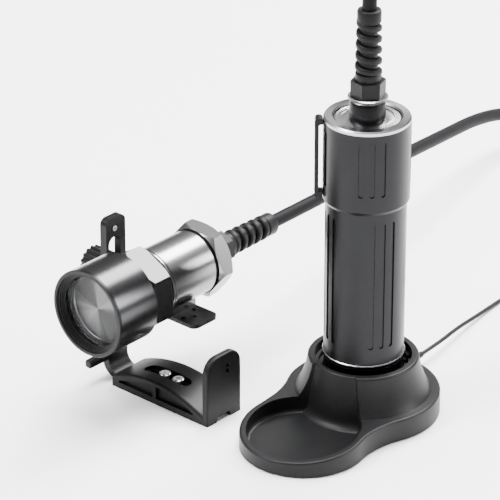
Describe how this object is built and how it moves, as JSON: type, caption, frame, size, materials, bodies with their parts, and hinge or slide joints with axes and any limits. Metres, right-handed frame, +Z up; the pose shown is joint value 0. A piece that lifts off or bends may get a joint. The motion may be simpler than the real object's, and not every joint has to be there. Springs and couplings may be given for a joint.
{
  "type": "umbilical dive light with charging dock",
  "caption": "Umbilical dive light: hexagon-gripped lamp head on an adjustable hand mount, cabled to a battery canister standing in its charging dock with a tray.",
  "frame": {"origin": "on the canister axis, at the underside of the dock", "axes": "+Z up along the canister; +X along the lamp from its lens to its cable"},
  "size_m": [0.6343, 0.2479, 0.4181],
  "materials": {
    "dock_plastic": "moulded, fine texture, charcoal",
    "foot_rubber": "matt",
    "liner_black": "matt black",
    "screw_steel": "stainless",
    "bright_screw": "polished",
    "board_green": "solder mask",
    "contact_gold": "plated",
    "lead_black": "satin black",
    "canister_grey": "dark satin anodised",
    "polished_metal": "turned and polished",
    "gland_black": "matt black",
    "relief_grey": "matt dark grey",
    "cable_grey": "satin dark grey",
    "oring_black": "matt",
    "cell_can": "sleeved",
    "cell_holder": "matt",
    "head_grey": "dark polished anodised",
    "lamp_silver": "polished",
    "lens_glass": "clear",
    "reflector_silver": "vacuum plated",
    "led_yellow": "phosphor",
    "mount_black": "glass-filled, fine texture"
  },
  "bodies": {
    "torch": {"canister_lid": "canister_grey", "lid_top_ring": "polished_metal", "cable_port": "polished_metal", "lid_contact_board": "board_green", "contact_spring": "contact_gold", "belt_loop": "mount_black", "belt_loop_screws": "screw_steel", "canister_gland": "gland_black", "canister_bend_relief": "relief_grey", "lamp_gland": "gland_black", "lamp_bend_relief": "relief_grey", "lamp_core": "liner_black", "spigot_orings": "oring_black", "lamp_ridge_ring": "lamp_silver", "lamp_body_tube": "lamp_silver", "driver_board": "board_green", "driver_parts": "cell_holder", "lamp_rear_nut": "lamp_silver", "cross_plate": "mount_black", "lamp_saddle": "lamp_silver", "saddle_screws": "bright_screw", "height_stud": "screw_steel", "slot_bush": "gland_black", "knob_washer": "screw_steel", "umbilical": "cable_grey"},
    "dock": {"dock_shell": "dock_plastic", "dock_base_plate": "dock_plastic", "dock_foot_pad": "foot_rubber", "dock_screws": "screw_steel", "socket_liner": "liner_black", "charge_board": "board_green", "charge_pins": "contact_gold", "lead_boot": "lead_black", "charge_lead": "lead_black", "charge_lead_coil": "lead_black", "plug_body": "lead_black", "plug_shell": "bright_screw", "plug_tongue": "cell_holder"},
    "battery_tube": {"canister_tube": "canister_grey", "tube_end_ring": "polished_metal", "bottom_cap": "canister_grey", "contact_rings": "contact_gold", "seam_orings": "oring_black", "cap_oring": "oring_black", "battery_cells": "cell_can", "cell_holder": "cell_holder"},
    "lamp_head": {"lamp_front_ring": "head_grey", "lens_collar": "liner_black", "lamp_lens": "lens_glass", "lens_oring": "oring_black", "lamp_head_shell": "head_grey", "reflector": "reflector_silver", "led_board": "board_green", "led_emitters": "led_yellow", "heat_sink": "polished_metal"},
    "hand_arm": {"slotted_arm": "mount_black", "arm_screw": "screw_steel", "palm_screws": "bright_screw"},
    "palm": {"palm_plate": "mount_black"},
    "height_knob": {"height_knob": "mount_black"}
  },
  "joints": [
    {"name": "dock_lift", "type": "slide", "parent": "dock", "child": "torch", "axis": [0, 0, 1], "range_m": [0, 0.05]},
    {"name": "tube_unscrew", "type": "hinge", "parent": "torch", "child": "battery_tube", "pos_m": [0, 0, 0.17], "axis": [0, 0, 1], "continuous": true},
    {"name": "head_twist", "type": "hinge", "parent": "torch", "child": "lamp_head", "pos_m": [-0.1, 0.126, 0.087], "axis": [1, 0, 0], "range_deg": [0, 90]},
    {"name": "lamp_height", "type": "slide", "parent": "torch", "child": "hand_arm", "axis": [0, 0, 1], "range_m": [-0.02, 0.03]},
    {"name": "palm_reach", "type": "slide", "parent": "hand_arm", "child": "palm", "axis": [0, 1, 0], "range_m": [-0.013, 0.004]},
    {"name": "height_knob_turn", "type": "hinge", "parent": "torch", "child": "height_knob", "pos_m": [-0.0783, 0.18, 0.082], "axis": [0, 1, 0], "continuous": true}
  ]
}
